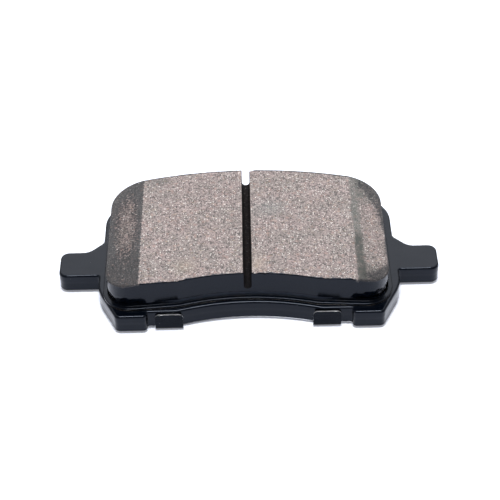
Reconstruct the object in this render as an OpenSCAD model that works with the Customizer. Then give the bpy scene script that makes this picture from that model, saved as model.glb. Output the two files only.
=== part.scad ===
// Disc brake pad: a friction block moulded on a stamped steel backing plate,
// with a noise shim hooked over the plate's edges.
// Millimetres. The pad lies on its shim with the friction face up. X runs along
// the pad from ear to ear, Y from the hub side to the rim side, and Z out of the
// plate towards the rotor. The origin is at floor level, under the pad's middle.
// Heights in the plan view are given from the front of the two lobes, which are
// the edge nearest the hub.

/* [Backing plate] */
// Width over the ends of the two ears
ear_span = 132; // [128:0.5:136]
// Height from the front of the lobes to the crown of the rim side
plate_h = 67.4; // [66.8:0.1:68.4]
// Thickness of the plate
plate_t = 6.4; // [5:0.1:8]
// Width of the body above the ears
body_w = 102.4; // [101.6:0.2:103.4]
// Width of the body below the ears
waist_w = 103.8; // [103.4:0.2:105]
// Height of each ear
ear_h = 12.9; // [10:0.1:14]
// Lower edge of the ears above the front of the lobes
ear_lift = 21.2; // [20:0.1:23]
// Slope that blends the top of each ear into the body, along X and along Y
shoulder = 5.1; // [3:0.1:6]

/* [Hub and rim arcs] */
// Radius of the plate's rim-side arc
rim_r = 147; // [140:1:149]
// Radius of the plate's hub-side arc
hub_r = 82; // [78:1:86]
// Crown of the hub-side arc above the front of the lobes
hub_rise = 6; // [5.9:0.1:6.6]
// Half of the angle that each arc spans, before its straight ends
fan = 15; // [14.5:0.1:15.2]

/* [Lobes and tab recesses] */
// Distance between the inner sides of the two lobes
lobe_gap = 69.4; // [68:0.2:71]
// Distance between the outer corners of the two lobes
lobe_span = 90.2; // [88:0.2:92]
// Depth of the recesses beside the lobes, where the shim's tabs stand
recess = 2.3; // [2:0.1:2.6]
// Height above the lobes' front where the body starts to narrow towards them
waist_lift = 13.8; // [12:0.2:15]

/* [Friction block] */
// Width of the friction block
block_w = 95.8; // [95:0.2:97]
// Thickness of the friction material above the underlayer
block_t = 8.4; // [4:0.1:11]
// Sideways place of the block on the plate
block_x = -0.5; // [-0.8:0.1:0.8]
// Plate showing between the block and the crown of the rim-side arc
rim_margin = 2; // [1.8:0.1:3]
// Plate showing between the block and the crown of the hub-side arc
hub_margin = 3.1; // [3:0.1:3.4]
// Height of the block's two hub-side corners above the front of the lobes
block_lift = 3.9; // [3.6:0.1:4.4]
// Height where the block's hub-side arc ends and its straight foot begins
block_knee = 5.75; // [5.4:0.05:5.9]
// Width of the flat part of the face, between the two end chamfers
flat_w = 74; // [60:1:80]
// Angle of the end chamfers
chamfer_a = 8.5; // [4:0.5:12]
// Width of the slot across the block
slot_w = 2.7; // [2:0.1:4]
// Depth of the slot below the face, to the bottom of its round floor
slot_d = 7.1; // [3:0.1:7.5]

/* [Underlayer] */
// Thickness of the cured adhesive film between plate and underlayer
film_t = 0.1; // [0.1:0.05:0.2]
// Thickness of the underlayer under the block
underlayer_t = 2.1; // [1.5:0.1:2.5]
// Thickness of the thin flange that the mould leaves round the block
flange_t = 0.7; // [0.4:0.1:1]
// Width of that flange
flange_w = 1.5; // [0.8:0.1:1.7]

/* [Retention holes] */
// Radius of the holes in the plate that the underlayer fills
hole_r = 5; // [4:0.1:6]
// Sideways places of the holes, the same on both sides
hole_x = [15, 35]; // [12:1:38]
// Height of the holes above the front of the lobes
hole_y = 35; // [28:1:42]
// Gap between a plug and its hole
plug_gap = 0.05; // [0.02:0.01:0.1]

/* [Shim] */
// Thickness of the steel core
core_t = 0.5; // [0.4:0.05:0.6]
// Thickness of the rubber coat on each side of the core
coat_t = 0.1; // [0.05:0.05:0.15]
// Thickness of the adhesive between shim and plate
glue_t = 0.1; // [0.05:0.05:0.15]
// Distance that the shim's outline stays inside the plate's
shim_inset = 0.5; // [0.4:0.1:1]
// Sideways place of the shim on the plate
shim_x = -0.6; // [-0.8:0.1:0.8]
// Gap between a hub-side tab and the edge of its recess
tab_gap = 0.55; // [0.3:0.05:0.7]
// Gap between the rim-side tab and the crown of the plate
rim_tab_gap = 0.3; // [0.2:0.05:0.6]
// Outer radius of the bend at the foot of each tab
bend_r = 1.3; // [1.1:0.1:1.5]
// Distance from the middle of the pad to the middle of a hub-side tab
tab_x = 26.7; // [26:0.1:27.5]
// Width of a hub-side tab
tab_w = 9.4; // [8:0.2:10]
// Width of the rim-side tab
rim_tab_w = 14; // [10:0.5:20]
// Radius of the tabs' upper corners
tab_r = 1.4; // [0.5:0.1:2]
// Distance that the tabs end below the plate's face
tab_drop = 0.5; // [0:0.1:1]

/* [Hidden] */
$fn = 48;

// Levels of the stack, from the floor up
shim_t = 2 * coat_t + core_t;
plate_z = shim_t + glue_t;
film_z = plate_z + plate_t;
underlayer_z = film_z + film_t;
block_z = underlayer_z + underlayer_t;
face_z = block_z + block_t;
tab_top = film_z - tab_drop;

// The rim-side tab is the farthest point of the pad, so it sets the middle
depth = plate_h + rim_tab_gap + shim_t;

// Largest distance between an arc and the chords that stand for it
arc_error = 0.015;
// A length that reaches past the whole pad
past = 200;

function xy(p) = [p.x, p.y];
function unit(v) = v / norm(v);
function spin(v, a) = [v.x * cos(a) - v.y * sin(a), v.x * sin(a) + v.y * cos(a)];

// The turn that an outline makes at b, coming from a and going on to c.
// It is positive at an outside corner and negative at an inside one.
function turn(a, b, c) =
    let (u = unit(xy(b) - xy(a)), w = unit(xy(c) - xy(b)))
    atan2(cross(u, w), u * w);

// From a corner to the centre of its rounding, for a radius of 1
function inward(a, b, c) =
    unit(unit(xy(a) - xy(b)) + unit(xy(c) - xy(b))) / cos(turn(a, b, c) / 2);

// The arc that rounds corner b, whose third number is its radius
function corner(a, b, c) =
    let (
        angle = turn(a, b, c),
        centre = xy(b) + inward(a, b, c) * b[2],
        start = xy(b) + unit(xy(a) - xy(b)) * b[2] * tan(abs(angle) / 2) - centre,
        steps = ceil(abs(angle) * PI / 180 * sqrt(b[2] / (8 * arc_error)))
    )
    [for (i = [0 : steps]) centre + spin(start, angle * i / steps)];

function before(list, i) = list[(i + len(list) - 1) % len(list)];
function after(list, i) = list[(i + 1) % len(list)];

// A closed outline from its corners, each of them [x, y, radius]
function rounded(list) =
    [for (i = [0 : len(list) - 1]) each corner(before(list, i), list[i], after(list, i))];

// The same outline moved outwards by d all round
function grown(list, d) =
    [for (i = [0 : len(list) - 1])
        let (
            side = sign(turn(before(list, i), list[i], after(list, i))),
            p = xy(list[i]) - inward(before(list, i), list[i], after(list, i)) * side * d
        )
        [p.x, p.y, list[i][2] + side * d]];

// Right half of an outline, completed with its mirror image
function both_sides(half) =
    concat(half, [for (i = [len(half) - 1 : -1 : 0])
        if (half[i].x > 0) [-half[i].x, half[i].y, half[i][2]]]);

// Where the straight ends of an arc with its crown at y would meet
function crown(y, r) = [0, y + r / cos(fan) - r, r];

// Height of those straight ends at a distance x from the middle, and the reverse
function fan_y(top, x) = top.y - x * tan(fan);
function fan_x(top, y) = (top.y - y) / tan(fan);

plate_rim = crown(plate_h, rim_r);
plate_hub = crown(hub_rise, hub_r);
plate_knee = [fan_x(plate_hub, recess), recess, 6];
waist_knee = [waist_w / 2, waist_lift, 16];
lobe_tip = [lobe_span / 2, 0, 2];
plate_shoulder = [body_w / 2, fan_y(plate_rim, body_w / 2), 13];

// The plate's outline, anticlockwise from the middle of the hub side
plate_corners = both_sides([
    plate_hub,
    plate_knee,
    [lobe_gap / 2, recess, 0.5],
    [lobe_gap / 2, 0, 1.4],
    lobe_tip,
    waist_knee,
    [waist_w / 2, ear_lift, 0.8],
    [ear_span / 2, ear_lift, 3],
    [ear_span / 2, ear_lift + ear_h, 3],
    [body_w / 2 + shoulder, ear_lift + ear_h, 5],
    [body_w / 2, ear_lift + ear_h + shoulder, 2.5],
    plate_shoulder,
    plate_rim
]);

// The shim's outline leaves out the ears and the lobes
shim_side = lobe_tip.x + recess * (waist_knee.x - lobe_tip.x) / waist_knee.y;
shim_corners = grown(both_sides([
    plate_hub,
    plate_knee,
    [shim_side, recess, 3],
    [body_w / 2, waist_knee.y, 16],
    plate_shoulder,
    plate_rim
]), -shim_inset);

// The friction block's outline runs concentric with the plate's two arcs
block_rim = crown(plate_h - rim_margin, rim_r - rim_margin);
block_hub = crown(hub_rise + hub_margin, hub_r + hub_margin);
block_corners = both_sides([
    block_hub,
    [fan_x(block_hub, block_knee), block_knee, 12],
    [block_w / 2, block_lift, 8],
    [block_w / 2, fan_y(block_rim, block_w / 2), 13],
    block_rim
]);

// Moves a shape from its height above the lobes to its place in the pad
module place(z, x = 0) translate([x, -depth / 2, z]) children();

// A solid that is drawn in the XZ plane and runs along Y from y0 to y1
module along_y(y0, y1) translate([0, y1, 0]) rotate([90, 0, 0]) linear_extrude(y1 - y0) children();

// A solid that is drawn in the YZ plane and is w wide about x = 0
module along_x(w) translate([-w / 2, 0, 0]) rotate([90, 0, 90]) linear_extrude(w) children();

// Circles of radius r in the places of the retention holes
module at_holes(r) for (x = hole_x, side = [-1, 1]) translate([side * x, hole_y]) circle(r);

module backing_plate() color("#1c1d20") place(plate_z) linear_extrude(plate_t)
    difference() {
        polygon(rounded(plate_corners));
        at_holes(hole_r);
    }

module adhesive_film() color("#5b4a33") place(film_z) linear_extrude(film_t)
    difference() {
        translate([block_x, 0]) polygon(rounded(grown(block_corners, flange_w)));
        at_holes(hole_r);
    }

// The underlayer has a thin flange round its foot, and plugs that fill the holes
module underlayer() color("#2b2a2d") {
    place(underlayer_z, block_x) linear_extrude(underlayer_t) polygon(rounded(block_corners));
    place(underlayer_z, block_x) linear_extrude(flange_t)
        polygon(rounded(grown(block_corners, flange_w)));
    place(plate_z) linear_extrude(underlayer_z - plate_z + flange_t) at_holes(hole_r - plug_gap);
}

// Side view of the block: a flat face with a chamfer at each end
module block_profile() {
    drop = (block_w - flat_w) / 2 * tan(chamfer_a);
    polygon([
        [-block_w / 2, 0],
        [block_w / 2, 0],
        [block_w / 2, block_t - drop],
        [flat_w / 2, block_t],
        [-flat_w / 2, block_t],
        [-block_w / 2, block_t - drop]
    ]);
}

// Side view of the slot: straight walls and a round floor
module slot_profile() {
    floor_z = block_t - slot_d + slot_w / 2;
    translate([0, floor_z]) circle(slot_w / 2);
    translate([-slot_w / 2, floor_z]) square([slot_w, past]);
}

module friction_block() color("#9d9392") place(block_z, block_x)
    difference() {
        intersection() {
            linear_extrude(block_t) polygon(rounded(block_corners));
            along_y(-past, past) block_profile();
        }
        along_y(-past, past) slot_profile();
    }

// One layer of a tab in side view, between the depths t0 and t1 under the shim's
// outer surface. The tab runs in along Y for a length of foot, and its outer
// surface is at y = 0 where it stands up.
module hook_profile(t0, t1, foot) {
    translate([bend_r, t0]) square([foot, t1 - t0]);
    translate([bend_r, bend_r]) intersection() {
        difference() {
            circle(bend_r - t0);
            circle(bend_r - t1);
        }
        translate([-bend_r, -bend_r]) square(bend_r);
    }
    translate([t0, bend_r]) square([t1 - t0, tab_top - bend_r]);
}

// One layer of a tab of width w, with its two upper corners rounded
module tab(t0, t1, foot, w) intersection() {
    along_x(w) hook_profile(t0, t1, foot);
    along_y(-past, past) union() {
        translate([-w / 2, -1]) square([w, tab_top - tab_r + 1]);
        translate([tab_r - w / 2, -1]) square([w - 2 * tab_r, tab_top + 1]);
        for (side = [-1, 1]) translate([side * (w / 2 - tab_r), tab_top - tab_r]) circle(tab_r);
    }
}

// One layer of the shim, with its two hub-side tabs and its rim-side tab.
// Each foot reaches 3 mm in under the plate, to be one solid with the sheet.
module shim_layer(t0, t1) {
    hub_y = recess - tab_gap - shim_t;
    rim_y = plate_h + rim_tab_gap + shim_t;
    foot = 3;
    place(t0, shim_x) linear_extrude(t1 - t0) polygon(rounded(shim_corners));
    for (side = [-1, 1])
        place(0, shim_x + side * tab_x) translate([0, hub_y, 0]) tab(t0, t1, foot, tab_w);
    place(0, shim_x) translate([0, rim_y, 0]) mirror([0, 1, 0]) tab(t0, t1, foot, rim_tab_w);
}

module shim_outer_coat() color("#26272b") shim_layer(0, coat_t);
module shim_steel_core() color("#a9adb3") shim_layer(coat_t, coat_t + core_t);
module shim_inner_coat() color("#303136") shim_layer(coat_t + core_t, shim_t);

module shim_adhesive() color("#c9c2a8") place(shim_t, shim_x) linear_extrude(glue_t)
    polygon(rounded(shim_corners));

backing_plate();
adhesive_film();
underlayer();
friction_block();
shim_adhesive();
shim_inner_coat();
shim_steel_core();
shim_outer_coat();
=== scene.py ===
"""A disc brake pad on a white floor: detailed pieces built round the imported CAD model."""
import math

import bmesh
import bpy
import numpy as np
from mathutils import Matrix, Vector, geometry, kdtree


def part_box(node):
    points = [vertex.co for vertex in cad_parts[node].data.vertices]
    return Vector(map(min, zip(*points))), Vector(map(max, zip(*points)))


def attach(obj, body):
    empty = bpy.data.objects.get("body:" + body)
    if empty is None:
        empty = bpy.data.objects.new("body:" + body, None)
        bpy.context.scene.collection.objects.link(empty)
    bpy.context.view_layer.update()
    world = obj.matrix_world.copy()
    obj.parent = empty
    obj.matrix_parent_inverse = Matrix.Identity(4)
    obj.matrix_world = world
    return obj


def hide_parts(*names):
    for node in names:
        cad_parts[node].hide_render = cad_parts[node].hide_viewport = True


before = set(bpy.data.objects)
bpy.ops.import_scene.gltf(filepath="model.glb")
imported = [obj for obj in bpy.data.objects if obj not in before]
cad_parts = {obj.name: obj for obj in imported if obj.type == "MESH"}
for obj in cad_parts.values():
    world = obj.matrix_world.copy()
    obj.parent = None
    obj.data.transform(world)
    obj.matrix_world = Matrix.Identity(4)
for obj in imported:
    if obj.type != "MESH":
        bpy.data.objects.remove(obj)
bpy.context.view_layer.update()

MM = 0.001
BODY = "root"

# Outlines: how close two points or levels of a CAD node may be and still count as one, and how
# closely a point's distance to the block's outline is measured
SAME_POINT = 0.05 * MM
OUTLINE_STEP = 0.04 * MM

# Backing plate: its rounded edges, the spacing of its mesh, and the shear marks of its stamped side
PLATE_TOP_ROUND = 0.8 * MM
PLATE_FOOT_ROUND = 0.07 * MM
PLATE_STEP = 0.45 * MM
BORE_CHAMFER = 0.2 * MM
SHEAR_SHARE = 0.45
TEAR_DEPTH = 0.05 * MM
STRIATION = 0.016 * MM
WALL_DRIFT = 0.02 * MM

# Friction block: spacing of its mesh, edges, chips, the grain of its ground face, the waves of its
# walls, and how high and deep the foot of its hub side is broken away
GRAIN_STEP = 0.36 * MM
CHAMFER_COLUMNS = 40
SLOT_LEVELS = 12
FOOT_LEVELS = 4
EDGE_ROUND = 0.5 * MM
SLOT_EDGE_ROUND = 0.1 * MM
CHIP_SIZE = 0.75 * MM
GRAIN_HEIGHT = 0.03 * MM
PIT_DEPTH = 0.16 * MM
WALL_WAVE = 0.02 * MM
CRUMBLE_RISE = 3.7 * MM
CRUMBLE_DEPTH = 0.6 * MM

# Underlayer: the flange is mould flash, so its rim wanders a little; the plugs fill the plate's holes
FLASH_WANDER = 0.1 * MM
FLASH_ROUND = 0.3 * MM
FLASH_STEP = 0.35 * MM
PLUG_STEP = 0.8 * MM

# Shim: the sheared edges of the sheet are barely rounded
SHIM_EDGE = 0.04 * MM
CORE_EDGE = 0.12 * MM

# Camera: it looks down at the pad from its hub side
CAMERA_TILT = math.radians(41)
CAMERA_ROLL = math.radians(1.3)
CAMERA_AWAY = 0.5456
CAMERA_LENS = 109.42
CAMERA_AIM = Vector((0.00053, 0.00713, 0.0))

# Light: how bright the surroundings are on the camera's side and behind the pad, and the floor's
# own glow. Each soft box has its place, width, depth and watts.
ROOM_GLOW = 0.3
BACKDROP_GLOW = 0.65
FLOOR_GLOW = 0.22
SOFT_BOXES = {
    "top_box": ((0, -0.05, 1.0), 0.44, 0.24, 11.3),
    "back_box": ((0, 0.9, 0.8), 1.1, 1.1, 7),
}

# Floor: a sheet wide enough for every view, just below the pad
FLOOR_WIDTH = 6
FLOOR_DROP = 0.2 * MM


# ---------------------------------------------------------------- repeatable noise

def lattice(cell, seed):
    """A repeatable random value from 0 to 1 for each whole-number corner."""
    c = cell.astype(np.uint32)
    mixed = c[:, 0] * np.uint32(73856093) ^ c[:, 1] * np.uint32(19349663)
    mixed = mixed ^ c[:, 2] * np.uint32(83492791) ^ np.uint32(seed * 40503 + 977)
    mixed = (mixed ^ (mixed >> np.uint32(15))) * np.uint32(2246822519)
    mixed = (mixed ^ (mixed >> np.uint32(13))) * np.uint32(3266489917)
    return (mixed >> np.uint32(8)) / 16777215.0


def waves(points, size, seed=0):
    """Smooth random values from -1 to 1 at points, with bumps about size wide."""
    place = np.asarray(points, float) / size + 512.0
    corner = np.floor(place).astype(np.int64)
    part = place - corner
    part = part * part * (3 - 2 * part)
    total = np.zeros(len(place))
    for step in np.ndindex(2, 2, 2):
        share = np.prod(np.where(np.array(step) == 1, part, 1 - part), axis=1)
        total += share * lattice(corner + np.array(step), seed)
    return 2 * total - 1


def rough(points, size, octaves, seed=0):
    """Noise of several sizes, each half as wide and half as high as the one before."""
    levels = [waves(points, size / 2**i, seed + i) / 2**i for i in range(octaves)]
    return sum(levels) / sum(1 / 2**i for i in range(octaves))


def ramp_up(value, low, high):
    """0 below low, 1 above high, and smooth between them."""
    t = np.clip((value - low) / (high - low), 0, 1)
    return t * t * (3 - 2 * t)


# ---------------------------------------------------------------- outlines from the CAD model

def flat_loops(name, level):
    """The outlines of a CAD node's flat faces at a height, longest first and anticlockwise."""
    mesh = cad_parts[name].data
    numbers, sides = {}, set()
    for face in mesh.polygons:
        corners = [mesh.vertices[i].co for i in face.vertices]
        if max(abs(c.z - level) for c in corners) > 1e-6:
            continue
        ids = [numbers.setdefault((round(c.x, 7), round(c.y, 7)), len(numbers)) for c in corners]
        sides.update(zip(ids, ids[1:] + ids[:1]))
    following = {a: b for a, b in sides if (b, a) not in sides}
    places = list(numbers)
    loops = []
    while following:
        start, step = following.popitem()
        loop = [start]
        while step != start:
            loop.append(step)
            step = following.pop(step)
        loops.append(spaced(np.array([places[i] for i in loop])))
    return [facing_out(loop) for loop in sorted(loops, key=len_of, reverse=True)]


def shelf_height(name, low, high):
    """The height, between two others, at which a CAD node has a flat shelf."""
    heights = {round(v.co.z, 6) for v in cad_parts[name].data.vertices}
    return min(z for z in heights if low + SAME_POINT < z < high - SAME_POINT)


def spaced(loop):
    """The loop without points that all but touch the one before."""
    gaps = np.linalg.norm(loop - np.roll(loop, 1, axis=0), axis=1)
    return loop[gaps > SAME_POINT]


def len_of(loop):
    """Length of a closed outline."""
    return np.linalg.norm(loop - np.roll(loop, 1, axis=0), axis=1).sum()


def facing_out(loop):
    """The loop turned anticlockwise."""
    after = np.roll(loop, -1, axis=0)
    area = (loop[:, 0] * after[:, 1] - loop[:, 1] * after[:, 0]).sum()
    return loop if area > 0 else loop[::-1]


def dense(loop, step):
    """The loop with points added, so that no side is longer than step."""
    out = []
    for a, b in zip(loop, np.roll(loop, -1, axis=0)):
        count = max(1, math.ceil(np.linalg.norm(b - a) / step))
        out.extend(a + (b - a) * i / count for i in range(count))
    return np.array(out)


def outward(loop):
    """For each point of an anticlockwise loop, the way out, lengthened at corners."""
    back = loop - np.roll(loop, 1, axis=0)
    ahead = np.roll(loop, -1, axis=0) - loop
    back /= np.linalg.norm(back, axis=1)[:, None]
    ahead /= np.linalg.norm(ahead, axis=1)[:, None]
    tangent = back + ahead
    tangent /= np.linalg.norm(tangent, axis=1)[:, None]
    mitre = np.clip((tangent * ahead).sum(axis=1), 0.5, 1)
    return np.stack([tangent[:, 1], -tangent[:, 0]], axis=1) / mitre[:, None]


# ---------------------------------------------------------------- solids

def make_piece(name, points, faces, smooth_angle=40):
    """A closed mesh object riding on the pad's body, with its normals facing out."""
    mesh = bpy.data.meshes.new(name)
    mesh.from_pydata([tuple(p) for p in points], [], [tuple(f) for f in faces])
    work = bmesh.new()
    work.from_mesh(mesh)
    bmesh.ops.dissolve_degenerate(work, edges=work.edges, dist=1e-8)
    bmesh.ops.recalc_face_normals(work, faces=work.faces)
    work.to_mesh(mesh)
    work.free()
    piece = bpy.data.objects.new(name, mesh)
    bpy.context.scene.collection.objects.link(piece)
    mesh.shade_smooth()
    mesh.set_sharp_from_angle(angle=math.radians(smooth_angle))
    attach(piece, BODY)
    return piece


def carry(piece, name, values):
    """Stores a value on each point of a piece, for its material to read."""
    layer = piece.data.attributes.new(name, "FLOAT", "POINT")
    layer.data.foreach_set("value", np.asarray(values, np.float32))


def round_over(radius, height, steps=5):
    """(inset, height) pairs of an edge rounding that ends at a height, from the wall inwards."""
    turns = np.linspace(0, math.pi / 2, steps + 1)
    return [(radius * (1 - math.cos(t)), height - radius * (1 - math.sin(t))) for t in turns]


def round_under(radius, height, steps=4):
    """The same for the lower edge, from the bottom face out to the wall."""
    return [(i, 2 * height - h) for i, h in reversed(round_over(radius, height, steps))]


class Solid:
    """Points and faces of a solid that is built ring by ring."""

    def __init__(self):
        self.points, self.faces = [], []

    def ring(self, loop, height):
        """Adds a closed ring of points at one height and returns their numbers."""
        first = len(self.points)
        self.points.extend((x, y, z) for (x, y), z in zip(loop, np.broadcast_to(height, len(loop))))
        return list(range(first, first + len(loop)))

    def skin(self, low, high):
        """Joins two rings of the same length."""
        for i in range(len(low)):
            j = (i + 1) % len(low)
            self.faces.append((low[i], low[j], high[j], high[i]))

    def wall(self, loop, profile, relief=None):
        """Carries a loop up a profile of (inset, height) pairs; returns its first and last ring."""
        normals = outward(loop)
        rings = []
        for inset, height in profile:
            ring = loop - normals * inset
            if relief:
                ring = ring + normals * relief(ring, height)[:, None]
            rings.append(self.ring(ring, height))
        for low, high in zip(rings, rings[1:]):
            self.skin(low, high)
        return rings[0], rings[-1]

    def cap(self, ring, holes=()):
        """Fills a ring with a flat face, around any rings of holes in it."""
        outlines = [[Vector(self.points[i]) for i in r] for r in (ring, *holes)]
        numbers = [i for r in (ring, *holes) for i in r]
        triangles = geometry.tessellate_polygon(outlines)
        self.faces.extend(tuple(numbers[i] for i in t) for t in triangles)


# ---------------------------------------------------------------- material nodes

def node(tree, kind, inputs, out=0, **settings):
    """Adds a shader node. A socket given as an input is linked, and any other value is set."""
    made = tree.nodes.new("ShaderNode" + kind)
    for name, value in settings.items():
        setattr(made, name, value)
    for name, value in inputs.items():
        if isinstance(value, bpy.types.NodeSocket):
            tree.links.new(value, made.inputs[name])
        else:
            made.inputs[name].default_value = value
    return made.outputs[out]


def colour(value):
    """A grey or a colour as RGBA."""
    return (value, value, value, 1) if isinstance(value, (int, float)) else (*value, 1)


def calc(tree, operation, a, b=0.0):
    """One sum on each point of the surface."""
    return node(tree, "Math", {0: a, 1: b}, operation=operation)


def blend(tree, factor, a, b, how="MIX"):
    """Colour a turned into colour b by a factor."""
    a = a if isinstance(a, bpy.types.NodeSocket) else colour(a)
    b = b if isinstance(b, bpy.types.NodeSocket) else colour(b)
    return node(tree, "Mix", {0: factor, 6: a, 7: b}, out=2, data_type="RGBA", blend_type=how)


def between(tree, value, low, high, start=0.0, end=1.0):
    """Start below low, end above high, and smooth between them."""
    ends = {"Value": value, "From Min": low, "From Max": high, "To Min": start, "To Max": end}
    return node(tree, "MapRange", ends, interpolation_type="SMOOTHSTEP")


def clouds(tree, size, detail=2.0, stretch=(1, 1, 1)):
    """Noise whose lumps are about size wide, in metres, times the stretch along each axis."""
    spot = node(tree, "TexCoord", {}, out="Object")
    scale = [1 / (size * s) for s in stretch]
    spot = node(tree, "Mapping", {"Vector": spot, "Scale": scale})
    return node(tree, "TexNoise", {"Vector": spot, "Scale": 1.0, "Detail": detail}, out="Fac")


def grains(tree, size, out, stretch=(1, 1, 1), turn=0.0):
    """Angular cells about size wide: their random colour or the distance to their middle."""
    spot = node(tree, "TexCoord", {}, out="Object")
    ragged = node(tree, "TexNoise", {"Vector": spot, "Scale": 2.5 / size, "Detail": 2.0}, out="Color")
    ragged = node(tree, "VectorMath", {0: ragged, 1: (0.5, 0.5, 0.5)}, operation="SUBTRACT")
    ragged = node(tree, "VectorMath", {0: ragged, "Scale": 0.7 * size}, operation="SCALE")
    spot = node(tree, "VectorMath", {0: spot, 1: ragged})
    scale = [1 / (size * s) for s in stretch]
    spot = node(tree, "Mapping", {"Vector": spot, "Rotation": (0, 0, turn), "Scale": scale})
    return node(tree, "TexVoronoi", {"Vector": spot, "Scale": 1.0}, out=out)


def specks(tree, size, share, width, **shape):
    """Small spots: a share of the cells of that size holds one, width cells wide."""
    shade = node(tree, "SeparateColor", {0: grains(tree, size, "Color", **shape)}, out=0)
    chosen = calc(tree, "GREATER_THAN", shade, 1 - share)
    inside = between(tree, grains(tree, size, "Distance", **shape), width, width * 0.7)
    return calc(tree, "MULTIPLY", chosen, inside)


def mark(tree, name):
    """A value that the mesh carries on its points."""
    return node(tree, "Attribute", {}, out="Fac", attribute_name=name)


def bumps(tree, *layers):
    """Bump from (height, how high in metres) layers."""
    normal = None
    for height, rise in layers:
        inputs = {"Height": height, "Distance": rise, "Strength": 1.0}
        if normal:
            inputs["Normal"] = normal
        normal = node(tree, "Bump", inputs)
    return normal


def finish_of(slot, build):
    """A material for a slot; build(tree) makes its nodes and returns its sockets' values."""
    material = bpy.data.materials.new(slot)
    material.use_nodes = True
    tree = material.node_tree
    shader = tree.nodes["Principled BSDF"]
    for socket, value in build(tree).items():
        if isinstance(value, bpy.types.NodeSocket):
            tree.links.new(value, shader.inputs[socket])
        else:
            shader.inputs[socket].default_value = value
    material["slot"] = slot
    return material


def dress(piece, material):
    """Gives a piece its only material."""
    piece.data.materials.clear()
    piece.data.materials.append(material)


# ---------------------------------------------------------------- materials

# Colours and gloss that several materials share
PAINT_DARK = (0.0006, 0.0014, 0.0032)
PAINT_GREY = (0.0022, 0.003, 0.0052)
DUST = (0.42, 0.42, 0.43)
PAINT_IOR = 1.3
RUBBER_IOR = 1.19
COOL_SHINE = (0.74, 0.82, 1.0, 1)

# The block: its bare roughness, how much smoother any paint and the walls' paint make it, and how
# much of the grain shows through thin paint
BARE_ROUGHNESS = 0.88
PAINT_SMOOTHS = 0.15
WALL_SMOOTHS = 0.58
GRAIN_SHOWS = 0.52


def powder_coat(tree):
    """Satin black powder coat: orange peel, faint handling marks and a few specks of dust."""
    tone = clouds(tree, 7 * MM, 4)
    base = blend(tree, between(tree, tone, 0.35, 0.7), PAINT_DARK, PAINT_GREY)
    dust = calc(tree, "MAXIMUM", specks(tree, 6 * MM, 0.3, 0.034), specks(tree, 2.3 * MM, 0.12, 0.035))
    scuffs = clouds(tree, 1.6 * MM, 6)
    peel = (clouds(tree, 1.5 * MM, 2), 0.022 * MM)
    fine_peel = (clouds(tree, 0.3 * MM, 2), 0.004 * MM)
    return {
        "Base Color": blend(tree, dust, base, DUST),
        "Roughness": between(tree, scuffs, 0.35, 0.75, 0.1, 0.2),
        "IOR": PAINT_IOR,
        "Specular Tint": COOL_SHINE,
        "Normal": bumps(tree, peel, fine_peel),
    }


def ground_face(tree):
    """Colour of the bare compound: a pinkish resin full of angular grains and short fibres."""
    tone = between(tree, clouds(tree, 7 * MM, 4), 0.35, 0.65)
    face = blend(tree, tone, (0.212, 0.184, 0.175), (0.241, 0.199, 0.192))
    fine = between(tree, clouds(tree, 0.4 * MM, 4), 0.28, 0.72, 0.45, 1.55)
    face = blend(tree, 1.0, face, fine, "MULTIPLY")
    tan_threads = specks(tree, 0.45 * MM, 0.08, 0.45, stretch=(4, 1, 1), turn=0.6)
    dark_threads = specks(tree, 0.45 * MM, 0.12, 0.45, stretch=(1, 4, 1), turn=0.3)
    layers = {
        "grey grains": (specks(tree, 0.9 * MM, 0.34, 0.5), 0.62, (0.075, 0.073, 0.073)),
        "black grains": (specks(tree, 0.6 * MM, 0.27, 0.5), 0.65, (0.045, 0.042, 0.042)),
        "red grains": (specks(tree, 1.4 * MM, 0.2, 0.5), 0.35, (0.3, 0.19, 0.16)),
        "pale grains": (specks(tree, 0.75 * MM, 0.2, 0.42), 0.42, (0.6, 0.57, 0.55)),
        "white glints": (specks(tree, 0.5 * MM, 0.11, 0.4), 0.75, (0.85, 0.83, 0.8)),
        "tan threads": (tan_threads, 0.35, (0.33, 0.26, 0.16)),
        "dark threads": (dark_threads, 0.7, (0.05, 0.045, 0.045)),
    }
    for spots, strength, tint in layers.values():
        face = blend(tree, calc(tree, "MULTIPLY", spots, strength), face, tint)
    return face


def stained_face(tree, bare):
    """The bare compound with its stains and smears, and painted shade on the slot's walls and rims."""
    face = blend(tree, mark(tree, "warm"), bare, (0.34, 0.28, 0.2))
    face = blend(tree, mark(tree, "cool"), face, (0.16, 0.18, 0.185))
    face = blend(tree, mark(tree, "smear"), face, (0.088, 0.097, 0.09))
    # Near-black painted shade in the slot's recess, and along a thin line at its rims
    tone = between(tree, clouds(tree, 0.8 * MM, 4), 0.35, 0.65)
    slot_shade = blend(tree, tone, (0.0035, 0.0025, 0.002), (0.011, 0.0075, 0.0055))
    return blend(tree, mark(tree, "slot"), face, slot_shade)


def block_paint(tree, bare, wall):
    """Paint that is thin on the face, where the grain shows through it, and full on the walls."""
    brushed = between(tree, clouds(tree, 0.5 * MM, 3, stretch=(1, 5, 1)), 0.3, 0.7)
    thin = blend(tree, brushed, (0.034, 0.036, 0.037), (0.058, 0.061, 0.062))
    grain = blend(tree, 1.0, bare, (0.3, 0.31, 0.32), "MULTIPLY")
    # The walls' paint is lighter at the hub corners: dust, and painted sheen for the corners' grazing
    # reflection
    full = blend(tree, mark(tree, "dust_and_sheen"), PAINT_DARK, (0.11, 0.11, 0.12))
    return blend(tree, wall, blend(tree, GRAIN_SHOWS, thin, grain), full)


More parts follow.
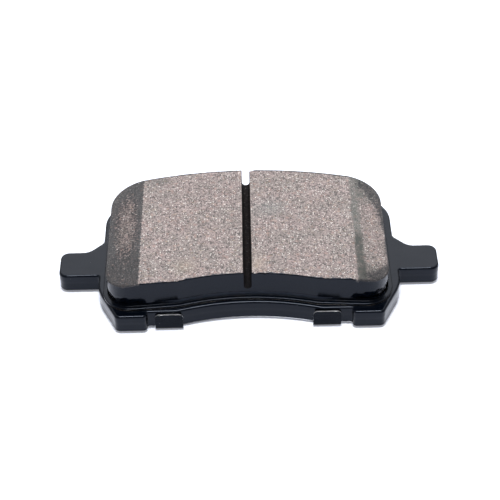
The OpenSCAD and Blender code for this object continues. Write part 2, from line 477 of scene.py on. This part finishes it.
def compound(tree):
    """Friction material: bare on its ground face, painted at its ends and round its sides."""
    bare = ground_face(tree)
    wall = mark(tree, "wall")
    grit = calc(tree, "MULTIPLY", calc(tree, "SUBTRACT", clouds(tree, 0.7 * MM, 5), 0.5), 2.6)
    cover = calc(tree, "ADD", mark(tree, "paint"), calc(tree, "MULTIPLY", wall, 0.9))
    cover = between(tree, calc(tree, "ADD", cover, grit), 0.12, 0.88)
    gloss = calc(tree, "ADD", PAINT_SMOOTHS, calc(tree, "MULTIPLY", wall, WALL_SMOOTHS))
    shade = blend(tree, cover, stained_face(tree, bare), block_paint(tree, bare, wall))
    ripples = (clouds(tree, 1.6 * MM, 3, stretch=(1, 1, 2)), 0.06 * MM)
    pebble = (clouds(tree, 0.45 * MM, 4), 0.022 * MM)
    return {
        "Base Color": blend(tree, mark(tree, "scorch_and_shade"), shade, (0.22, 0.17, 0.15), "MULTIPLY"),
        "Roughness": calc(tree, "SUBTRACT", BARE_ROUGHNESS, calc(tree, "MULTIPLY", cover, gloss)),
        "IOR": PAINT_IOR,
        "Specular Tint": COOL_SHINE,
        "Normal": bumps(tree, ripples, pebble),
    }


def underlayer_mix(tree):
    """Underlayer under black paint: glossy on the flange, and painted reflection as dull grey on its
    upright side.
    """
    tone = clouds(tree, 3 * MM, 5)
    gloss = blend(tree, between(tree, tone, 0.4, 0.75), PAINT_DARK, (0.003, 0.003, 0.0035))
    side = mark(tree, "side")
    # The upright side's dull bluish grey is painted reflection, as bright as the floor that the wall above
    # it mirrors
    dull = blend(tree, between(tree, tone, 0.3, 0.7), (0.016, 0.02, 0.028), (0.021, 0.025, 0.034))
    uneven = between(tree, clouds(tree, 0.9 * MM, 5), 0.3, 0.75, 0.08, 0.2)
    return {
        "Base Color": blend(tree, side, gloss, dull),
        "Roughness": calc(tree, "ADD", uneven, calc(tree, "MULTIPLY", side, 0.4)),
        "IOR": PAINT_IOR,
        "Specular Tint": COOL_SHINE,
        "Normal": bumps(tree, (clouds(tree, 1.0 * MM, 3), 0.03 * MM)),
    }


def cured_film(tree):
    """The squeezed-out edge of the bonding film: dark, glossy and uneven."""
    tone = between(tree, clouds(tree, 1.2 * MM, 4), 0.35, 0.7)
    return {
        "Base Color": blend(tree, tone, (0.006, 0.005, 0.004), (0.03, 0.02, 0.012)),
        "Roughness": between(tree, clouds(tree, 0.5 * MM, 3), 0.3, 0.7, 0.15, 0.4),
        "Normal": bumps(tree, (clouds(tree, 0.4 * MM, 3), 0.03 * MM)),
    }


def tacky_glue(tree):
    """Pressure-sensitive adhesive: cream, with trapped bubbles and grey dust."""
    bubbles = specks(tree, 0.9 * MM, 0.6, 0.3)
    tone = between(tree, clouds(tree, 2 * MM, 4), 0.3, 0.7)
    cream = blend(tree, tone, (0.3, 0.27, 0.2), (0.42, 0.39, 0.3))
    return {
        "Base Color": blend(tree, bubbles, cream, (0.16, 0.15, 0.13)),
        "Roughness": between(tree, clouds(tree, 0.5 * MM, 3), 0.3, 0.7, 0.35, 0.7),
        "Normal": bumps(tree, (bubbles, -0.03 * MM)),
    }


def rubber_coat(tree):
    """Nitrile rubber baked on the shim: fine pebble, dull patches and faint rolling streaks."""
    tone = clouds(tree, 5 * MM, 5)
    streaks = clouds(tree, 1.2 * MM, 3, stretch=(12, 1, 1))
    base = blend(tree, between(tree, tone, 0.35, 0.7), PAINT_DARK, (0.003, 0.0042, 0.0068))
    dust = specks(tree, 3 * MM, 0.25, 0.03)
    return {
        "Base Color": blend(tree, dust, base, DUST),
        "Roughness": between(tree, streaks, 0.3, 0.7, 0.2, 0.34),
        "IOR": RUBBER_IOR,
        "Specular Tint": COOL_SHINE,
        "Normal": bumps(tree, (clouds(tree, 0.35 * MM, 3), 0.012 * MM), (streaks, 0.01 * MM)),
    }


def sheet_steel(tree):
    """Cold-rolled steel where the shim was cut: fine shear lines and grey oxide."""
    lines = clouds(tree, 0.15 * MM, 2, stretch=(1, 1, 8))
    oxide = between(tree, clouds(tree, 2.5 * MM, 3), 0.4, 0.75)
    return {
        "Base Color": blend(tree, oxide, (0.75, 0.76, 0.78), (0.42, 0.42, 0.43)),
        "Metallic": 1.0,
        "Roughness": between(tree, lines, 0.3, 0.7, 0.3, 0.45),
        "Normal": bumps(tree, (lines, 0.002 * MM)),
    }


# ---------------------------------------------------------------- backing plate

def stamped_wall(floor, top):
    """(inset, height) pairs of a stamped side: rounded edges, and a torn band above the foot."""
    tear_top = floor + (top - floor) * (1 - SHEAR_SHARE)
    low = round_under(PLATE_FOOT_ROUND, floor)
    high = round_over(PLATE_TOP_ROUND, top, 6)
    rows = np.linspace(floor + PLATE_FOOT_ROUND, top - PLATE_TOP_ROUND, 12)[1:-1]
    middle = [(TEAR_DEPTH * ramp_up(tear_top - z, 0, 0.5 * MM), z) for z in rows]
    flat = [(PLATE_TOP_ROUND + 0.15 * MM, top)]
    return [(PLATE_FOOT_ROUND + 0.15 * MM, floor)] + low + middle + high + flat


def striation(floor, top):
    """The fine vertical lines that a punch leaves on the side, deeper on the torn band."""
    tear_top = floor + (top - floor) * (1 - SHEAR_SHARE)

    def relief(ring, height):
        inside = floor + 0.1 * MM < height < top - 0.1 * MM
        if not inside:
            return np.zeros(len(ring))
        spots = np.column_stack([ring, np.full(len(ring), height * 0.12)])
        torn = 1.0 if height < tear_top else 0.45
        drift = waves(np.column_stack([ring, np.full(len(ring), height)]), 9 * MM, 31)
        lines = rough(spots, 0.9 * MM, 2, 7)
        return STRIATION * torn * (lines - 1) + WALL_DRIFT * (drift - 1)

    return relief


def build_backing_plate():
    """The stamped steel plate with its ears, lobes and four retention holes."""
    low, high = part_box("backing_plate")
    outer, *holes = flat_loops("backing_plate", high.z)
    solid = Solid()
    relief = striation(low.z, high.z)
    foot, top = solid.wall(dense(outer, PLATE_STEP), stamped_wall(low.z, high.z), relief)
    edge = BORE_CHAMFER
    bore = [(-edge, low.z), (0, low.z + edge), (0, high.z - edge), (-edge, high.z)]
    ends = [solid.wall(hole, bore) for hole in holes]
    solid.cap(foot, [low_end for low_end, _ in ends])
    solid.cap(top, [high_end for _, high_end in ends])
    piece = make_piece("backing_plate_detail", solid.points, solid.faces)
    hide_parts("backing_plate")
    dress(piece, finish_of("black_powder_coat", powder_coat))


# ---------------------------------------------------------------- underlayer

def flash_wander(ring, height):
    """How far the flash's rim strays from its outline."""
    spots = np.column_stack([ring, np.full(len(ring), height)])
    return FLASH_WANDER * (rough(spots, 2.4 * MM, 3, 51) - 0.35)


def flange_and_side(solid, film_top, top):
    """Adds the flange and the upright side above it; returns the lowest and the highest ring."""
    flange = flat_loops("underlayer", film_top)[0]
    block_side = flat_loops("underlayer", top)[0]
    flange_top = shelf_height("underlayer", film_top, top)
    width = flange[:, 0].max() - block_side[:, 0].max()
    rim = [(0.35 * MM, film_top)] + round_under(0.12 * MM, film_top)
    rim += round_over(FLASH_ROUND, flange_top)
    fillet = [(width - 0.12 * MM, flange_top + 0.01 * MM), (width - 0.03 * MM, flange_top + 0.04 * MM)]
    upright = [(width, z) for z in np.linspace(flange_top + 0.15 * MM, top, 4)]
    loop = dense(flange, FLASH_STEP)
    foot, shelf = solid.wall(loop, rim, flash_wander)
    bend, highest = solid.wall(loop, fillet + upright)
    solid.skin(shelf, bend)
    return foot, highest


def build_underlayer():
    """The underlayer with the flash round its foot, and the plugs that fill the plate's holes."""
    low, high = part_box("underlayer")
    film_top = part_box("adhesive_film")[1].z
    solid = Solid()
    foot, top = flange_and_side(solid, film_top, high.z)
    plug_side = [(BORE_CHAMFER, low.z), (0, low.z + BORE_CHAMFER), (0, film_top)]
    plugs = [dense(plug, PLUG_STEP) for plug in flat_loops("underlayer", low.z)]
    ends = [solid.wall(plug, plug_side) for plug in plugs]
    solid.cap(foot, [plug_top for _, plug_top in ends])
    for plug_foot, _ in ends:
        solid.cap(plug_foot)
    solid.cap(top)
    piece = make_piece("underlayer_detail", solid.points, solid.faces)
    spots = np.array([v.co for v in piece.data.vertices])
    flange_top = shelf_height("underlayer", film_top, high.z)
    # Where the upright side gets its painted reflection: above the flange, in the middle of the long sides
    upright = ramp_up(spots[:, 2], flange_top + 0.05 * MM, flange_top + 0.3 * MM)
    sheen_middle = 1 - ramp_up(abs(spots[:, 0]), 22 * MM, 32 * MM)
    carry(piece, "side", upright * sheen_middle)
    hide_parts("underlayer")
    dress(piece, finish_of("underlayer_compound", underlayer_mix))


# ---------------------------------------------------------------- friction block

class Block:
    """The friction block's sizes, read from its CAD node. The slot's walls spring from its round floor."""

    def __init__(self):
        low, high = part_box("friction_block")
        self.floor, self.top = low.z, high.z
        outline = flat_loops("friction_block", low.z)[0]
        middle = (low.y + high.y) / 2
        self.outline = outline
        self.near = self.sorted_chain(outline[outline[:, 1] < middle])
        self.far = self.sorted_chain(outline[outline[:, 1] > middle])
        self.left, self.right = low.x, high.x
        decks = sorted(flat_loops("friction_block", high.z), key=lambda loop: loop[:, 0].min())
        self.flat_left, self.slot_left = decks[0][:, 0].min(), decks[0][:, 0].max()
        self.slot_right, self.flat_right = decks[1][:, 0].min(), decks[1][:, 0].max()
        self.middle = (self.slot_left + self.slot_right) / 2
        self.slot_half = (self.slot_right - self.slot_left) / 2
        spots = np.array([v.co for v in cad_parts["friction_block"].data.vertices])
        at_left_end = abs(spots[:, 0] - self.left) < 1e-5
        self.end_top = spots[at_left_end, 2].max()
        in_slot = (abs(spots[:, 0] - self.middle) < self.slot_half * 0.5) & (spots[:, 2] > low.z + 1e-5)
        self.slot_floor = spots[in_slot, 2].min()
        self.spring = self.slot_floor + self.slot_half

    @staticmethod
    def sorted_chain(points):
        """The points of one long side, from left to right."""
        return points[np.argsort(points[:, 0], kind="stable")]

    def hub_y(self, x):
        """The hub side's place at x."""
        return np.interp(x, self.near[:, 0], self.near[:, 1])

    def rim_y(self, x):
        """The rim side's place at x."""
        return np.interp(x, self.far[:, 0], self.far[:, 1])

    def deck_z(self, x):
        """Height of the face at x, with the end chamfers."""
        slope = (self.top - self.end_top) / (self.flat_left - self.left)
        beyond = np.maximum(np.maximum(self.flat_left - x, x - self.flat_right), 0)
        return self.top - slope * beyond

    def gutter_z(self, x):
        """Height of the slot's round floor at x."""
        off = np.clip((x - self.middle) / self.slot_half, -1, 1)
        return self.spring - self.slot_half * np.sqrt(1 - off**2)


def crowded(start, end, step, near_start=True, near_end=True):
    """Places from start to end, a step apart, with a few close together at the marked ends."""
    close = np.array([0.03, 0.08, 0.15, 0.24]) * MM
    way = np.sign(end - start)
    count = max(2, round(abs(end - start) / step))
    places = list(np.linspace(start, end, count + 1))
    if near_start:
        places[1:1] = list(start + way * close)
    if near_end:
        places[-1:-1] = list(end - way * close[::-1])
    return np.array(places)


def block_columns(block):
    """Places along X: bunched at the rounded corners, the chamfers' edges and the slot."""
    turn = 1 - np.cos(np.linspace(0, math.pi / 2, CHAMFER_COLUMNS + 1))
    left_end = block.left + (block.flat_left - block.left) * turn
    right_end = block.right - (block.right - block.flat_right) * turn[::-1]
    left_flat = crowded(block.flat_left, block.slot_left, GRAIN_STEP, near_start=False)
    right_flat = crowded(block.slot_right, block.flat_right, GRAIN_STEP, near_end=False)
    left = np.concatenate([left_end, left_flat[1:]])
    right = np.concatenate([right_flat, right_end[1:]])
    return left, right


class Patches:
    """Grids of points that become one mesh, joined where their points meet."""

    def __init__(self):
        self.points, self.faces, self.count = [], [], 0

    def add(self, grid):
        """Adds an array of rows x columns x 3."""
        rows, columns = grid.shape[:2]
        numbers = np.arange(rows * columns).reshape(rows, columns) + self.count
        corners = numbers[:-1, :-1], numbers[1:, :-1], numbers[1:, 1:], numbers[:-1, 1:]
        self.faces.append(np.stack(corners, axis=-1).reshape(-1, 4))
        self.points.append(grid.reshape(-1, 3))
        self.count += rows * columns

    def joined(self):
        """The points without repeats, and the faces that still have four corners."""
        points = np.concatenate(self.points)
        keys = np.round(points / 1e-8).astype(np.int64)
        _, first, inverse = np.unique(keys, axis=0, return_index=True, return_inverse=True)
        faces = inverse.reshape(-1)[np.concatenate(self.faces)]
        return points[first], faces


def grid_of(x, y, z):
    """Three arrays of one shape as an array of points."""
    x, y, z = np.broadcast_arrays(x, y, z)
    return np.stack([x, y, z], axis=-1)


def block_shell(block):
    """The block's bare shape as points and faces."""
    left, right = block_columns(block)
    arc = block.middle - block.slot_half * np.cos(np.linspace(0, math.pi, 9))
    arc[0], arc[-1] = block.slot_left, block.slot_right
    span = block.rim_y(block.middle) - block.hub_y(block.middle)
    share = (crowded(0, span, GRAIN_STEP) / span)[:, None]
    rise = np.linspace(0, 1, FOOT_LEVELS + 1)[:, None]
    climb = np.linspace(0, 1, SLOT_LEVELS + 1)[:, None]
    patches = Patches()
    foot_span = block.spring - block.floor

    def across(x):
        """Y from the hub side to the rim side."""
        return block.hub_y(x) + (block.rim_y(x) - block.hub_y(x)) * share

    for x in (left, right):
        patches.add(grid_of(x, across(x), block.deck_z(x)))
        for y in (block.hub_y(x), block.rim_y(x)):
            patches.add(grid_of(x, y, block.floor + foot_span * rise))
            patches.add(grid_of(x, y, block.spring + (block.deck_z(x) - block.spring) * climb))
    patches.add(grid_of(arc, across(arc), block.gutter_z(arc)))
    for y in (block.hub_y(arc), block.rim_y(arc)):
        patches.add(grid_of(arc, y, block.floor + (block.gutter_z(arc) - block.floor) * rise))
    for x in (block.left, block.right):
        y = across(np.array([x]))[:, 0]
        patches.add(grid_of(x, y, block.floor + foot_span * rise))
        patches.add(grid_of(x, y, block.spring + (block.deck_z(x) - block.spring) * climb))
    for x in (block.slot_left, block.slot_right):
        y = across(np.array([x]))[:, 0]
        patches.add(grid_of(x, y, block.spring + (block.deck_z(x) - block.spring) * climb))
    columns = np.concatenate([left, arc[1:-1], right])
    patches.add(grid_of(columns, across(columns), block.floor))
    return patches.joined()


def edge_distance(block, points):
    """Distance of each point, in plan, from the block's outline, and 0 for those on it."""
    outline = dense(block.outline, OUTLINE_STEP)
    tree = kdtree.KDTree(len(outline))
    for i, (x, y) in enumerate(outline):
        tree.insert((x, y, 0), i)
    tree.balance()
    away = np.array([tree.find((x, y, 0))[2] for x, y in points[:, :2]])
    x, y = points[:, 0], points[:, 1]
    on_side = np.minimum(abs(y - block.hub_y(x)), abs(y - block.rim_y(x))) < 1e-8
    on_end = np.minimum(x - block.left, block.right - x) < 1e-8
    return np.where(on_side | on_end, 0, away)


def blob(x, y, centre, size, power=2.0):
    """1 in the middle of an oval and 0 from its rim outwards. A high power makes it boxy."""
    off = abs((x - centre[0]) / size[0]) ** power + abs((y - centre[1]) / size[1]) ** power
    return np.clip(1 - off ** (1 / power), 0, 1)


class Wear:
    """Where the block is painted, bare, smeared, stained, or given painted shade and sheen; in mm from its
    slot's middle.
    """

    # Where the left chamfer's paint starts, and the two fading sides of the smeared stripe
    LEFT_START = (36.4, 36.8)
    BAND_START = (36.6, 37.2)
    BAND_END = (39.2, 40.4)
    # Ovals: the middle and the half widths along X and Y
    RUBBED = ((-41.9, 0.5), (4.6, 20))
    RUBBED_BROWN = ((-41.9, 0.5), (5, 22))
    GRAZED = ((-44, -23), (6, 10))
    RIM_SPOT = ((-31, 25.4), (7, 3))
    YELLOW_LEFT = ((-21, -21), (6, 5))
    YELLOW_RIGHT = ((3.6, -20), (4, 6))
    BLUISH = ((8, 9), (9, 7))
    # How far from its rim the slot's painted shade shows on the face
    SLOT_RIM = 0.16

    def __init__(self, block, points, edge):
        self.points = points
        self.x, self.y = (points[:, 0] - block.middle) / MM, points[:, 1] / MM
        self.edge = edge / MM
        self.slot_half = block.slot_half / MM
        self.on_deck = points[:, 2] > block.deck_z(points[:, 0]) - 1e-6
        over_slot_floor = points[:, 2] > block.slot_floor - 1e-6
        over_slot = (abs(self.x) < self.slot_half + 0.01) & (self.edge > 0.01)
        self.in_slot = over_slot & over_slot_floor & ~self.on_deck
        self.wall = ~self.on_deck & ~self.in_slot
        self.wobble = 1.2 * self.noise(6, 3, 61)
        self.band = self.grey_band()
        self.burnt = ramp_up(-self.y + 2 * self.wobble, 5, 9)
        patchy = 0.75 + 0.5 * self.noise(1.3, 3, 73)
        self.rim_corner = ramp_up(self.x, 39, 40.5) * ramp_up(self.y + 1.5 * self.wobble, 8, 17) * patchy
        self.hub_corner = ramp_up(self.x, 36, 41) * ramp_up(-self.y + self.wobble, 19, 27) * patchy
        wrap_width = 0.38 + 0.55 * (self.y > 0) + 0.25 * self.noise(1.5, 3, 71)
        self.wrapped = ramp_up(wrap_width - self.edge, 0, 0.15) * self.on_deck

    def noise(self, size, octaves, seed):
        """Noise with bumps about size wide."""
        return rough(self.points, size * MM, octaves, seed)

    def grey_band(self):
        """The smeared stripe across the face beside the right chamfer."""
        along = self.x - 0.4 * self.wobble
        return ramp_up(along, *self.BAND_START) * (1 - ramp_up(along, *self.BAND_END))

    def left_chamfer(self):
        """Paint on the left chamfer: worn through in its middle, and grazed at the hub side."""
        x, y, wobble = self.x, self.y, self.wobble
        rubbed = np.clip(1.6 * blob(x + wobble, y + 2 * wobble, *self.RUBBED, 2.8), 0, 1)
        grazed = np.clip(1.5 * blob(x + wobble, y + wobble, *self.GRAZED, 3), 0, 1)
        return ramp_up(-x, *self.LEFT_START) * (1 - 0.64 * rubbed - 0.03 * grazed)

    def right_chamfer(self):
        """Paint on the right chamfer: left only along its rim, and wider towards its corners."""
        y = self.y
        rim_width = 0.9 + 1.5 * ramp_up(y, -8, 6) + 2.6 * ramp_up(y, 5, 15) + 3.6 * ramp_up(-y, 17, 26)
        along_rim = ramp_up(rim_width + 0.9 * self.wobble - self.edge, -1.2, 2)
        return 0.85 * ramp_up(self.x, 37.5, 42) * along_rim

    def paint(self):
        """All paint: the walls, the two chamfers and a thin line round the face."""
        on_face = np.clip(self.left_chamfer() + self.right_chamfer() + self.wrapped, 0, 1)
        return np.where(self.wall, 1.0, np.where(self.in_slot, 0.0, on_face))

    def smear(self):
        """Grey smears: the stripe, the right end's corners and a spot on the rim side."""
        speckled = 0.35 * ramp_up(self.noise(1.1, 2, 67), -0.1, 0.3)
        rim_spot = blob(self.x, self.y, *self.RIM_SPOT)
        smear = self.band * (0.6 + self.burnt * speckled) + 0.55 * rim_spot
        smear = np.clip(smear + 0.8 * self.rim_corner + 0.72 * self.hub_corner, 0, 0.95)
        return np.where(self.on_deck, smear, 0)

    def scorch_and_shade(self):
        """Brown scorching on the worn chamfers and the stripe's hub end, and painted shade in the slot,
        darker at its hub end.
        """
        x, y, wobble = self.x, self.y, self.wobble
        rubbed = blob(x + wobble, y + wobble, *self.RUBBED_BROWN, 3)
        scorch_and_shade = 0.38 * ramp_up(rubbed, 0.05, 0.5) + 0.4 * self.band * self.burnt
        scorch_and_shade += 0.35 * self.hub_corner + 0.14 * ramp_up(x, 39, 40.5)
        scorch_and_shade += 0.3 * ramp_up(-x, 36.4, 37) * ramp_up(-y + wobble, 10, 20)
        # In the slot: painted shade, darker towards the hub end
        return np.where(self.on_deck, scorch_and_shade, self.in_slot * 0.75 * ramp_up(-y, 4, 24))

    def dust_and_sheen(self):
        """Pale dust and painted sheen on the walls at the hub side's two corners, more on the right."""
        near_ends = ramp_up(abs(self.x), 43, 47.5) * ramp_up(-self.y, 12, 20)
        return self.wall * near_ends * (0.3 + 0.12 * np.sign(self.x))

    def marks(self):
        """The values that the block's material reads, from 0 to 1 on each point."""
        x, y = self.x, self.y
        yellowed = blob(x, y, *self.YELLOW_LEFT) + blob(x, y, *self.YELLOW_RIGHT)
        # The slot's walls, and a thin line along its rims on the face, get painted shade
        slot_rim = abs(abs(x) - self.slot_half) < self.SLOT_RIM
        return {
            "paint": self.paint(),
            "smear": self.smear(),
            "scorch_and_shade": self.scorch_and_shade(),
            "warm": np.where(self.on_deck, 0.25 * yellowed, 0),
            "cool": np.where(self.on_deck, 0.3 * blob(x, y, *self.BLUISH), 0),
            # The thin line along the face's hub edge, between the chamfers, is made as dark and glossy as
            # the walls
            "wall": np.maximum(self.wall, self.wrapped * (abs(x) < 36) * (y < 0)),
            "dust_and_sheen": self.dust_and_sheen(),
            "slot": np.maximum(self.in_slot, self.on_deck * slot_rim),
        }


def drop(distance, size):
    """How far an edge rounded to a size lies below its sharp one, at a distance from it."""
    depth = np.clip(1 - distance / size, 0, 1)
    return size * (1 - np.sqrt(1 - depth**2))


def edge_wear(block, flatwise, edge):
    """How far the face is rounded and chipped down at its outline and along the slot."""
    x, y = flatwise[:, 0], flatwise[:, 1]
    chips = ramp_up(rough(flatwise, 2.6 * MM, 3, 11), 0.28, 0.6) * (1 - 0.8 * ramp_up(y, 0, 5 * MM))
    slot_corner = (block.slot_right, block.rim_y(block.slot_right))
    chips += 2.6 * blob(x, y, slot_corner, (1.9 * MM, 1.7 * MM))
    slot_edge = np.minimum(abs(x - block.slot_left), abs(x - block.slot_right))
    slot_chips = 0.5 * ramp_up(rough(flatwise, 2 * MM, 3, 19), 0.4, 0.7)
    slot_drop = drop(slot_edge, SLOT_EDGE_ROUND + CHIP_SIZE * slot_chips)
    return np.maximum(drop(edge, EDGE_ROUND + CHIP_SIZE * chips), slot_drop)


def worn_surface(block, points, edge, painted):
    """Moves the bare points: rounded and chipped edges, the face's grain and pits, uneven walls."""
    x, y, z = points.T
    on_deck = z > block.deck_z(x) - 1e-6
    flatwise = np.column_stack([x, y, np.zeros(len(x))])
    height = np.clip((z - block.spring) / (block.deck_z(x) - block.spring), 0, 1)
    grit = rough(flatwise, 0.8 * MM, 3, 3) * GRAIN_HEIGHT * (1 - 0.6 * painted)
    pits = PIT_DEPTH * ramp_up(-rough(flatwise, 1.1 * MM, 2, 23), 0.42, 0.75) * (1 - 0.7 * painted)
    face = np.minimum(grit, 0) - pits
    moved = points.copy()
    moved[:, 2] += np.where(on_deck, face, 0) - edge_wear(block, flatwise, edge) * height
    inwards = np.array([block.middle, 0]) - points[:, :2]
    inwards /= np.linalg.norm(inwards, axis=1)[:, None] + 1e-9
    push = WALL_WAVE * (1 + rough(points, 2.2 * MM, 3, 41)) * ramp_up(z, block.floor, block.floor + MM)
    push += crumbled_foot(block, points)
    moved[:, :2] += inwards * ((edge == 0) * push)[:, None]
    return moved


def crumbled_foot(block, points):
    """How far the wall's foot is broken away at the hub side's two corners."""
    x, y, z = points[:, 0] - block.middle, points[:, 1], points[:, 2]
    place = ramp_up(-y, 20 * MM, 25 * MM) * ramp_up(abs(x), 33 * MM, 39 * MM) * np.where(x > 0, 1, 0.5)
    top = CRUMBLE_RISE * (0.75 + 0.9 * rough(points, 2.2 * MM, 3, 81)) * place
    ragged = 1 + 0.6 * rough(points, 1.2 * MM, 3, 83)
    return CRUMBLE_DEPTH * ragged * place * ramp_up(top - (z - block.floor), 0, 0.7 * top + 1e-9)


def build_friction_block():
    """The friction block with its slot, chamfers, worn paint and chipped edges."""
    block = Block()
    points, faces = block_shell(block)
    edge = edge_distance(block, points)
    marks = Wear(block, points, edge).marks()
    points = worn_surface(block, points, edge, marks["paint"])
    piece = make_piece("friction_block_detail", points, faces, 55)
    for name, values in marks.items():
        carry(piece, name, values)
    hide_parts("friction_block")
    dress(piece, finish_of("friction_compound", compound))


# ---------------------------------------------------------------- carried-over CAD nodes

def soften(name, width):
    """Rounds the edges of a CAD node with modifiers, which leave its mesh as it is."""
    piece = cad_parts[name]
    weld = piece.modifiers.new("weld", "WELD")
    weld.merge_threshold = 1e-6
    bevel = piece.modifiers.new("edges", "BEVEL")
    bevel.width = width
    bevel.segments = 2
    bevel.limit_method = "ANGLE"
    bevel.angle_limit = math.radians(50)
    bevel.use_clamp_overlap = True
    piece.data.shade_smooth()
    normals = piece.modifiers.new("normals", "WEIGHTED_NORMAL")
    normals.keep_sharp = True
    return piece


def dress_shim():
    """Materials and softened edges for the layers that keep their CAD shape."""
    rubber = finish_of("shim_rubber", rubber_coat)
    dress(soften("shim_outer_coat", SHIM_EDGE), rubber)
    dress(soften("shim_inner_coat", SHIM_EDGE), rubber)
    dress(soften("shim_steel_core", CORE_EDGE), finish_of("shim_steel", sheet_steel))
    dress(soften("shim_adhesive", SHIM_EDGE), finish_of("shim_adhesive", tacky_glue))
    dress(soften("adhesive_film", SHIM_EDGE), finish_of("bonding_film", cured_film))


# ---------------------------------------------------------------- floor, light and camera

def build_floor():
    """A plain white floor that glows a little, as a light table does."""
    bpy.ops.mesh.primitive_plane_add(size=FLOOR_WIDTH, location=(0, 0, -FLOOR_DROP))
    floor = bpy.context.object
    floor.name = "floor"
    material = bpy.data.materials.new("floor_white")
    material.use_nodes = True
    shader = material.node_tree.nodes["Principled BSDF"]
    shader.inputs["Base Color"].default_value = (0.8, 0.83, 0.92, 1)
    shader.inputs["Roughness"].default_value = 0.9
    shader.inputs["Specular IOR Level"].default_value = 0.0
    shader.inputs["Emission Color"].default_value = (0.9, 0.92, 1, 1)
    shader.inputs["Emission Strength"].default_value = FLOOR_GLOW
    floor.data.materials.append(material)


def soft_box(name, place, width, depth, power):
    """A rectangular area light that points at the pad."""
    light = bpy.data.lights.new(name, "AREA")
    light.shape = "RECTANGLE"
    light.size = width
    light.size_y = depth
    light.energy = power
    lamp = bpy.data.objects.new(name, light)
    lamp.location = place
    lamp.rotation_euler = (-Vector(place)).to_track_quat("-Z", "Y").to_euler()
    bpy.context.scene.collection.objects.link(lamp)


def light_the_stage():
    """The soft boxes, and surroundings that are brighter behind the pad than on the camera's side."""
    world = bpy.data.worlds.new("surroundings")
    world.use_nodes = True
    tree = world.node_tree
    way = node(tree, "TexCoord", {}, out="Generated")
    depth = node(tree, "SeparateXYZ", {0: way}, out=1)
    glow = between(tree, depth, -0.6, 0.3, ROOM_GLOW, BACKDROP_GLOW)
    tree.links.new(glow, tree.nodes["Background"].inputs["Strength"])
    tree.nodes["Background"].inputs["Color"].default_value = (1, 1, 1, 1)
    bpy.context.scene.world = world
    for name, (place, width, depth, power) in SOFT_BOXES.items():
        soft_box(name, place, width, depth, power)


def aim_camera():
    """A camera at the photograph's angle: it tilts down at the pad and rolls a little."""
    camera = bpy.data.cameras.new("camera")
    camera.lens = CAMERA_LENS
    camera.clip_start = 0.01
    forward = Vector((0, math.cos(CAMERA_TILT), -math.sin(CAMERA_TILT)))
    up = Vector((0, math.sin(CAMERA_TILT), math.cos(CAMERA_TILT)))
    right = Vector((1, 0, 0))
    side_way = right * math.cos(CAMERA_ROLL) - up * math.sin(CAMERA_ROLL)
    up_way = right * math.sin(CAMERA_ROLL) + up * math.cos(CAMERA_ROLL)
    turned = Matrix((side_way, up_way, -forward)).transposed().to_4x4()
    stand = bpy.data.objects.new("camera", camera)
    stand.matrix_world = Matrix.Translation(CAMERA_AIM - forward * CAMERA_AWAY) @ turned
    bpy.context.scene.collection.objects.link(stand)
    bpy.context.scene.camera = stand


build_backing_plate()
build_underlayer()
build_friction_block()
dress_shim()
build_floor()
light_the_stage()
aim_camera()
bpy.context.scene.view_settings.view_transform = "Standard"
